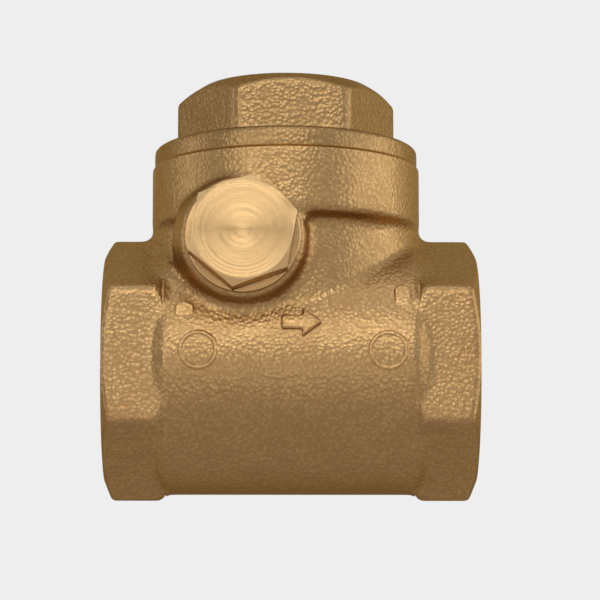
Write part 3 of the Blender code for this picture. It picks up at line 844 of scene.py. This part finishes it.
def ring_mark(along, around, finish):
    """A thin raised ring, with soft flanks."""
    foot, crown = RING_MARK_FOOT, RING_MARK_FOOT / 3
    profile = [
        (RING_MARK_RADIUS + foot, -foot),
        (RING_MARK_RADIUS + foot, 0, HAIR),
        (RING_MARK_RADIUS + crown, RING_MARK_PROUD, SMALL),
        (RING_MARK_RADIUS - crown, RING_MARK_PROUD, SMALL),
        (RING_MARK_RADIUS - foot, 0, HAIR),
        (RING_MARK_RADIUS - foot, -foot),
    ]
    points = softened(profile)
    bm = bmesh.new()
    verts = [bm.verts.new((radius, -height, 0)) for radius, height in points]
    edges = [bm.edges.new(pair) for pair in zip(verts, verts[1:] + verts[:1])]
    bmesh.ops.spin(
        bm,
        geom=verts + edges,
        cent=(0, 0, 0),
        axis=(0, 1, 0),
        angle=TAU,
        steps=SMALL_STEPS,
        use_merge=True,
    )
    bmesh.ops.translate(bm, vec=(along, 0, around), verts=bm.verts)
    on_barrel(bm)
    return shape("ring_mark", bm, finish)


def raised_mark(name, outline, proud, finish, lean=0.0):
    """A raised mark with a flat outline, leaning out towards its upper end."""
    bm = bmesh.new()
    foot = bm.faces.new([bm.verts.new((x, MARK_SUNK, z)) for x, z in outline])
    raised = bmesh.ops.extrude_face_region(bm, geom=[foot])["geom"]
    top = [item for item in raised if isinstance(item, bmesh.types.BMVert)]
    bmesh.ops.translate(bm, vec=(0, -MARK_SUNK - proud, 0), verts=top)
    rim = {edge for vert in top for edge in vert.link_edges}
    bmesh.ops.bevel(
        bm,
        geom=list(rim),
        offset=min(0.5 * MM, proud * 0.75),
        offset_type="OFFSET",
        segments=4,
        profile=0.5,
        affect="EDGES",
        material=-1,
    )
    low = min(z for _, z in outline)
    high = max(z for _, z in outline)
    for vert in bm.verts:
        vert.co.y += lean * (high - vert.co.z) / (high - low)
    cuts = 8
    for cut in range(1, cuts):
        bmesh.ops.bisect_plane(
            bm,
            geom=bm.verts[:] + bm.edges[:] + bm.faces[:],
            plane_co=(0, 0, low + (high - low) * cut / cuts),
            plane_no=(0, 0, 1),
        )
    on_barrel(bm)
    return shape(name, bm, finish)


def flow_arrow(finish):
    """A plain arrow along the flow."""
    tail, tip = ARROW_AT[0] - ARROW_LENGTH / 2, ARROW_AT[0] + ARROW_LENGTH / 2
    neck = tip - ARROW_LENGTH / 2
    half, shaft = ARROW_WIDTH / 2, ARROW_WIDTH * 0.23
    outline = [
        (tail, -shaft),
        (neck, -shaft),
        (neck, -half),
        (tip, 0),
        (neck, half),
        (neck, shaft),
        (tail, shaft),
    ]
    outline = [(x, z + ARROW_AT[1]) for x, z in outline]
    return raised_mark("flow_arrow", outline, ARROW_PROUD, finish)


def lug_mark(name, left, right, low, high, finish):
    """A pad that stands proud at its upper end and runs out at its lower one."""
    outline = [
        (left, low),
        (right, low),
        (right, high - LUG_CORNER),
        (right - LUG_CORNER, high),
        (left + LUG_CORNER, high),
        (left, high - LUG_CORNER),
    ]
    return raised_mark(name, outline, LUG_PROUD, finish, LUG_PROUD)


def shoulder_groove(side, finish):
    """The sharp corner between the barrel and a hexagon's corners, below the neck."""
    middle, half = side * GROOVE_X, GROOVE_HALF_WIDTH
    top = BARREL_RADIUS + GROOVE_HEIGHT
    profile = [(BARREL_RADIUS, middle), (top, middle + half), (top, middle - half)]
    groove = turned("shoulder_groove", profile, "X", FLOW, finish)
    low = -BARREL_RADIUS - MM
    size = (HALF_LENGTH, 3 * BARREL_RADIUS, GROOVE_TOP - low)
    span = block("span", size, (middle, 0, (GROOVE_TOP + low) / 2), finish)
    return boolean(groove, "INTERSECT", [span])


def make_body(forged, highlit, flow_cut, neck_cut, hinge_cut):
    """The forging, with its marks, and then what is bored, faced and threaded."""
    body = barrel_form()
    outside = [
        pipe_ends_form(),
        neck_form(),
        collar_form(),
        boss_form("boss", BOSS_RADIUS, BOSS_FACE, 1),
        boss_form("rear_boss", REAR_BOSS_RADIUS, REAR_BOSS_FACE, -1),
    ]
    boolean(body, "UNION", outside)
    cast(body, forged, grain=0.35 * MM, fillet=1.4 * MM, edge=0.4 * MM, keep=0.5)
    boolean(body, "DIFFERENCE", [shoulder_groove(side, forged) for side in (1, -1)])
    # The marks take the brighter brass, a painted highlight.
    marks = [ring_mark(*spot, highlit) for spot in RING_MARKS]
    marks.append(flow_arrow(highlit))
    marks += [lug_mark(name, *spot, highlit) for name, spot in LUGS.items()]
    boolean(body, "UNION", marks)
    cuts = [
        facing("outlet_facing", END_FACING_RADIUS, HALF_LENGTH, "X", FLOW, flow_cut),
        facing("inlet_facing", END_FACING_RADIUS, HALF_LENGTH, "-X", FLOW, flow_cut),
        facing("neck_facing", COLLAR_RADIUS, NECK_TOP, "Z", NECK, neck_cut, JOINT_CHAMFER),
        flow_way(flow_cut),
        pipe_thread("X", flow_cut),
        pipe_thread("-X", flow_cut),
        *neck_way(neck_cut),
        *pin_way(hinge_cut),
    ]
    boolean(body, "DIFFERENCE", cuts)
    return finish_piece(body, "body", "valve_body", soft=forged)


def make_bonnet_cap(forged, turned_finish):
    """The hexagon cap with its flange, its threaded skirt and the hollow under its roof."""
    hex_radius = CAP_FLATS / math.sqrt(3)
    outline = [
        (0, CAP_TOP),
        (CAP_FACE_RADIUS, CAP_TOP),
        (hex_radius, CAP_TOP - CAP_CHAMFER_HEIGHT),
        (hex_radius, FLANGE_TOP - MM),
        (0, FLANGE_TOP - MM),
    ]
    head = hexagon(
        "cap_head", CAP_FLATS, FLANGE_TOP - MM / 2, CAP_TOP, "Z", NECK, CAP_TURN, CAP_EDGE_ROUND
    )
    boolean(head, "INTERSECT", [turned("outline", outline, "Z", NECK)])
    flange = [
        (0, FLANGE_TOP),
        (FLANGE_RADIUS - FLANGE_CHAMFER, FLANGE_TOP),
        (FLANGE_RADIUS, FLANGE_TOP - FLANGE_CHAMFER / 2),
        (FLANGE_RADIUS, FLANGE_BOTTOM - PAST),
        (0, FLANGE_BOTTOM - PAST),
    ]
    boolean(head, "UNION", [turned("flange", flange, "Z", NECK)])
    cast(head, forged, grain=0.25 * MM, fillet=0.5 * MM, edge=0.35 * MM, keep=0.6)
    under = FLANGE_BOTTOM - 2 * MM
    under_cut = [
        (0, FLANGE_BOTTOM),
        (FLANGE_RADIUS - JOINT_CHAMFER, FLANGE_BOTTOM),
        (FLANGE_RADIUS + MM, FLANGE_BOTTOM + JOINT_CHAMFER + MM),
        (FLANGE_RADIUS + MM, under),
        (0, under),
    ]
    boolean(head, "DIFFERENCE", [turned("under_cut", under_cut, "Z", NECK, turned_finish)])
    skirt = threaded(
        "skirt",
        CAP_THREAD,
        CAP_THREAD - CAP_THREAD_DEPTH,
        CAP_PITCH,
        CAP_LOW.z,
        FLANGE_BOTTOM + PAST,
        "Z",
        NECK,
        turned_finish,
    )
    lead_in = [
        (0, FLANGE_BOTTOM + MM),
        (CAP_THREAD + MM, FLANGE_BOTTOM + MM),
        (CAP_THREAD + MM, CAP_LOW.z + MM + CAP_LEAD_IN),
        (CAP_THREAD - CAP_LEAD_IN, CAP_LOW.z),
        (0, CAP_LOW.z),
    ]
    boolean(skirt, "INTERSECT", [turned("lead_in", lead_in, "Z", NECK, turned_finish)])
    boolean(head, "UNION", [skirt])
    roof = CAP_TOP - CAP_ROOF
    hollow = [
        (0, roof),
        (CAP_BORE - CAP_HOLLOW_CONE, roof, CAP_HOLLOW_ROUND),
        (CAP_BORE, roof - CAP_HOLLOW_CONE, CAP_HOLLOW_ROUND),
        (CAP_BORE, CAP_LOW.z - PAST),
        (0, CAP_LOW.z - PAST),
    ]
    boolean(head, "DIFFERENCE", [turned("hollow", hollow, "Z", NECK, turned_finish)])
    return finish_piece(head, "bonnet_cap", "valve_body", soft=forged)


def make_plug(finish):
    """The hexagon plug with its round collar, and the bore for the pin's front end."""
    seat = PLUG_SEAT + PLUG_FLANGE_HEIGHT
    top = -PLUG_LOW.y
    end = -PLUG_HIGH.y
    hex_radius = PLUG_FLATS / math.sqrt(3)
    head = hexagon(
        "plug_head", PLUG_FLATS, seat - PAST, top, "-Y", HINGE, PLUG_TURN, PLUG_EDGE, finish
    )
    outline = [
        (0, top),
        (PLUG_FACE_RADIUS, top, FINE),
        (hex_radius + MM, top - PLUG_HEAD_CHAMFER - MM / 2),
        (hex_radius + MM, seat - 2 * PAST),
        (0, seat - 2 * PAST),
    ]
    boolean(head, "INTERSECT", [turned("outline", outline, "-Y", HINGE, finish)])
    flange = [
        (0, seat),
        (PLUG_FLANGE_RADIUS, seat, BROKEN),
        (PLUG_FLANGE_RADIUS, PLUG_SEAT, PLUG_EDGE),
        (PLUG_UNDERCUT, PLUG_SEAT, HAIR),
        (PLUG_UNDERCUT, PLUG_SEAT - MM),
        (0, PLUG_SEAT - MM),
    ]
    root = PLUG_THREAD - FINE_THREAD_DEPTH
    shank = threaded(
        "plug_shank", PLUG_THREAD, root, PLUG_PITCH, end, PLUG_SEAT - MM / 2, "-Y", HINGE, finish
    )
    lead_in = [
        (0, PLUG_SEAT),
        (PLUG_THREAD + MM, PLUG_SEAT),
        (PLUG_THREAD + MM, end + 1.7 * MM),
        (root, end),
        (0, end),
    ]
    boolean(shank, "INTERSECT", [turned("lead_in", lead_in, "-Y", HINGE, finish)])
    boolean(head, "UNION", [turned("flange", flange, "-Y", HINGE, finish), shank])
    chamfer = 0.3 * MM
    bore = [
        (0, end + PLUG_PIN_DEPTH + PIN_BORE / 2),
        (PIN_BORE, end + PLUG_PIN_DEPTH),
        (PIN_BORE, end + chamfer),
        (PIN_BORE + 2 * chamfer, end - chamfer),
        (0, end - chamfer),
    ]
    boolean(head, "DIFFERENCE", [turned("bore", bore, "-Y", HINGE, finish, SMALL_STEPS)])
    return finish_piece(head, "hinge_pin_plug", "valve_body")


def make_ring(node, body, finish, profile, axis, at, steps=ROUND_STEPS):
    """A piece that is turned and nothing else."""
    return finish_piece(turned(node, profile, axis, at, finish, steps), node, body)


def gasket_profile(inner, outer, low, high):
    """A flat ring with rounded outer edges, as it is punched and then squeezed."""
    return [(inner, high), (outer, high, SMALL), (outer, low, SMALL), (inner, low)]


def make_bonnet_gasket(finish):
    profile = gasket_profile(CAP_THREAD + CLEARANCE, GASKET_HIGH.y, GASKET_LOW.z, GASKET_HIGH.z)
    make_ring("bonnet_gasket", "valve_body", finish, profile, "Z", NECK)


def make_plug_gasket(finish):
    outer = PLUG_GASKET_HIGH.x - HINGE_X
    profile = gasket_profile(PLUG_HOLE, outer, -PLUG_GASKET_HIGH.y, -PLUG_GASKET_LOW.y)
    make_ring("plug_gasket", "valve_body", finish, profile, "-Y", HINGE)


def make_hinge_pin(finish):
    front, back = -PIN_LOW.y, -PIN_HIGH.y
    profile = [
        (0, front),
        (PIN_RADIUS - PIN_CHAMFER, front, HAIR),
        (PIN_RADIUS, front - PIN_CHAMFER, HAIR),
        (PIN_RADIUS, back + PIN_CHAMFER, HAIR),
        (PIN_RADIUS - PIN_CHAMFER, back, HAIR),
        (0, back),
    ]
    make_ring("hinge_pin", "valve_body", finish, profile, "-Y", HINGE, SMALL_STEPS)


def make_hanger(forged, eye_cut, knuckle_cut):
    """The arm: a knuckle on the pin, a flat shank and an eye for the disc's stud."""
    half = HANGER_HIGH.y
    knuckle = turned(
        "knuckle",
        [(0, half), (KNUCKLE_RADIUS, half), (KNUCKLE_RADIUS, -half), (0, -half)],
        "-Y",
        HINGE,
    )
    eye = turned(
        "eye",
        [(0, EYE_BACK), (EYE_RADIUS, EYE_BACK), (EYE_RADIUS, EYE_FRONT), (0, EYE_FRONT)],
        "X",
    )
    size = (SHANK_THICKNESS, SHANK_WIDTH, HINGE_Z)
    shank = block("shank", size, ((EYE_FRONT + EYE_BACK) / 2, 0, HINGE_Z / 2))
    boolean(knuckle, "UNION", [shank, eye])
    cast(knuckle, forged, grain=0.2 * MM, fillet=0.7 * MM, edge=0.3 * MM)
    past = half + MM
    eye_bore = [(0, MM), (STUD_BORE, MM), (STUD_BORE, EYE_BORE_END), (0, EYE_BORE_END)]
    pin_bore = [(0, past), (PIN_BORE, past), (PIN_BORE, -past), (0, -past)]
    cuts = [
        turned("eye_bore", eye_bore, "X", FLOW, eye_cut, SMALL_STEPS),
        turned("pin_bore", pin_bore, "-Y", HINGE, knuckle_cut, SMALL_STEPS),
    ]
    boolean(knuckle, "DIFFERENCE", cuts)
    return finish_piece(knuckle, "disc_hanger", "clapper_arm", soft=forged)


def make_disc_holder(finish):
    """A turned cup for the rubber, with a threaded stud on each side."""
    root = STUD_RADIUS - FINE_THREAD_DEPTH
    middle = (HOLDER_FLOOR + HOLDER_END) / 2
    profile = [
        (0, HOLDER_END + MM),
        (root, HOLDER_END + MM),
        (root, HOLDER_END, BROKEN),
        (HOLDER_RADIUS, HOLDER_END, HOLDER_ROUND),
        (HOLDER_RADIUS, HOLDER_FRONT, BROKEN),
        (HOLDER_CUP, HOLDER_FRONT, BROKEN),
        (HOLDER_CUP, HOLDER_FLOOR, SMALL),
        (root, HOLDER_FLOOR, SMALL),
        (root, HOLDER_FLOOR - MM),
        (0, HOLDER_FLOOR - MM),
    ]
    holder = turned("holder", profile, "X", FLOW, finish)
    for axis, end in (("X", HOLDER_HIGH.x), ("-X", -HOLDER_LOW.x)):
        start = middle if axis == "X" else -middle
        stud = threaded(
            "stud", STUD_RADIUS, root, STUD_PITCH, start, end, axis, FLOW, finish, SMALL_STEPS
        )
        wide = root + 2 * MM
        lead_in = [(0, end), (root, end), (wide, end - 2 * MM), (wide, start), (0, start)]
        boolean(stud, "INTERSECT", [turned("lead_in", lead_in, axis, FLOW, finish)])
        boolean(holder, "UNION", [stud])
    return finish_piece(holder, "disc_holder", "clapper_disc")


def make_seat_disc(finish):
    """The rubber disc, with the shallow print of the seat in its face."""
    front, back = RUBBER_LOW.x, RUBBER_HIGH.x
    printed = front + PRINT_DEPTH
    profile = [
        (STUD_BORE, back),
        (RUBBER_RADIUS, back, BROKEN),
        (RUBBER_RADIUS, front, RUBBER_ROUND),
        (SEAT_LIP_RADIUS, front, FINE),
        (SEAT_LIP_RADIUS - SMALL, printed, FINE),
        (PORT_RADIUS + SMALL, printed, FINE),
        (PORT_RADIUS, front, FINE),
        (STUD_BORE, front),
    ]
    make_ring("seat_disc", "clapper_disc", finish, profile, "X", FLOW)


def make_washer(node, finish):
    low, high, _ = box_of(node)
    profile = [
        (STUD_BORE, high.x, HAIR),
        (WASHER_RADIUS, high.x, WASHER_ROUND),
        (WASHER_RADIUS, low.x, NUT_EDGE),
        (STUD_BORE, low.x, NUT_EDGE),
    ]
    make_ring(node, "clapper_disc", finish, profile, "X", FLOW)


def make_nut(node, finish):
    low, high, _ = box_of(node)
    nut = hexagon(node, NUT_FLATS, low.x, high.x, "X", FLOW, 0, NUT_EDGE, finish)
    radius = NUT_FLATS / math.sqrt(3)
    chamfer = (radius - NUT_FLATS / 2) * math.tan(math.radians(30))
    outline = [
        (0, high.x),
        (NUT_FLATS / 2, high.x, HAIR),
        (radius, high.x - chamfer),
        (radius, low.x + chamfer),
        (NUT_FLATS / 2, low.x, HAIR),
        (0, low.x),
    ]
    boolean(nut, "INTERSECT", [turned("outline", outline, "X", FLOW, finish)])
    crest, root = STUD_BORE + NUT_THREAD_DEPTH, STUD_BORE - SMALL
    start, end = low.x - PAST, high.x + PAST
    thread = threaded(
        "nut_thread", crest, root, STUD_PITCH, start, end, "X", FLOW, finish, SMALL_STEPS
    )
    boolean(nut, "DIFFERENCE", [thread])
    return finish_piece(nut, node, "clapper_disc")


def direction(azimuth, elevation):
    """The way out from the valve. Azimuth 0 is in front, and 90 beyond the outlet."""
    azimuth, elevation = math.radians(azimuth), math.radians(elevation)
    return Vector(
        (
            math.sin(azimuth) * math.cos(elevation),
            -math.cos(azimuth) * math.cos(elevation),
            math.sin(elevation),
        )
    )


def make_camera():
    """A long lens from just below the valve, as in the photograph."""
    back = direction(CAMERA_AZIMUTH, CAMERA_ELEVATION)
    data = bpy.data.cameras.new("camera")
    data.sensor_width = 36
    data.lens = CAMERA_LENS
    data.clip_start = 0.05
    camera = bpy.data.objects.new("camera", data)
    bpy.context.scene.collection.objects.link(camera)
    camera.location = CAMERA_TARGET + back * CAMERA_DISTANCE
    camera.rotation_mode = "QUATERNION"
    camera.rotation_quaternion = (-back).to_track_quat("-Z", "Y")
    bpy.context.scene.camera = camera


def soft_light(name, azimuth, elevation, distance, width, height, brightness):
    """A softbox that faces the valve, at a brightness of 1 as bright as a white wall."""
    towards = direction(azimuth, elevation)
    data = bpy.data.lights.new(name, "AREA")
    data.shape = "RECTANGLE"
    data.size = width
    data.size_y = height
    data.energy = brightness * math.pi * width * height
    light = bpy.data.objects.new(name, data)
    light.location = towards * distance + SOFTBOX_AIM
    light.rotation_mode = "QUATERNION"
    light.rotation_quaternion = towards.to_track_quat("Z", "Y")
    light.visible_camera = False
    bpy.context.scene.collection.objects.link(light)


def make_studio():
    """A room with a pale back wall and floor and dim other walls, and seven softboxes."""
    world = bpy.data.worlds.new("studio")
    bpy.context.scene.world = world
    n = Nodes(world, "Background")
    way = n.node("SeparateXYZ", {}, {"Vector": n.node("TexCoord", output="Generated")})
    across, inward, upward = (Value(n, way.socket.node.outputs[axis]) for axis in "XYZ")
    colour = n.mix(n.between(across, 0.2, 0.9), (0.32, 0.31, 0.30, 1), grey(0.65))
    colour = n.mix(n.between(inward, 0.3, 0.85), colour, grey(0.855))
    n.looks(Color=n.mix(n.between(upward, 0.45, 0.9), colour, (0.55, 0.55, 0.56, 1)))
    bm = bmesh.new()
    bmesh.ops.create_grid(bm, x_segments=1, y_segments=1, size=FLOOR_HALF_SIZE)
    place(bm, "Z", (0, 0, FLOOR_HEIGHT))
    n = new_finish("floor")
    cloud = n.noise(n.place(), 0.6, 1)
    paint = n.looks(
        Base_Color=n.mix(cloud, (0.59, 0.55, 0.525, 1), (0.62, 0.58, 0.555, 1)), Roughness=0.9
    )
    shape("floor", bm, paint)
    for name, box in SOFTBOXES.items():
        soft_light(name, *box)


blasted = blasted_brass("blasted_brass", 1.0)
# The raised marks get a brighter copy of the blasted brass: a painted highlight.
highlit_brass = blasted_brass("highlit_brass", 1.2)
cap_brass = blasted_brass("cap_brass", 0.86)
flow_turned = turned_brass("turned_brass_flow", "X", FLOW)
neck_turned = turned_brass("turned_brass_neck", "Z", NECK)
hinge_turned = turned_brass("turned_brass_hinge", "Y", HINGE)
steel = stainless()
red_fibre = fibre()

make_body(blasted, highlit_brass, flow_turned, neck_turned, hinge_turned)
make_bonnet_cap(cap_brass, neck_turned)
make_bonnet_gasket(red_fibre)
make_plug(bright_brass())
make_plug_gasket(red_fibre)
make_hinge_pin(steel)
make_hanger(blasted, flow_turned, hinge_turned)
make_disc_holder(flow_turned)
make_seat_disc(rubber())
for washer in ("seat_disc_washer", "hanger_washer"):
    make_washer(washer, steel)
for nut in ("seat_disc_nut", "hanger_nut"):
    make_nut(nut, steel)

make_camera()
make_studio()
bpy.context.scene.view_settings.view_transform = "Standard"
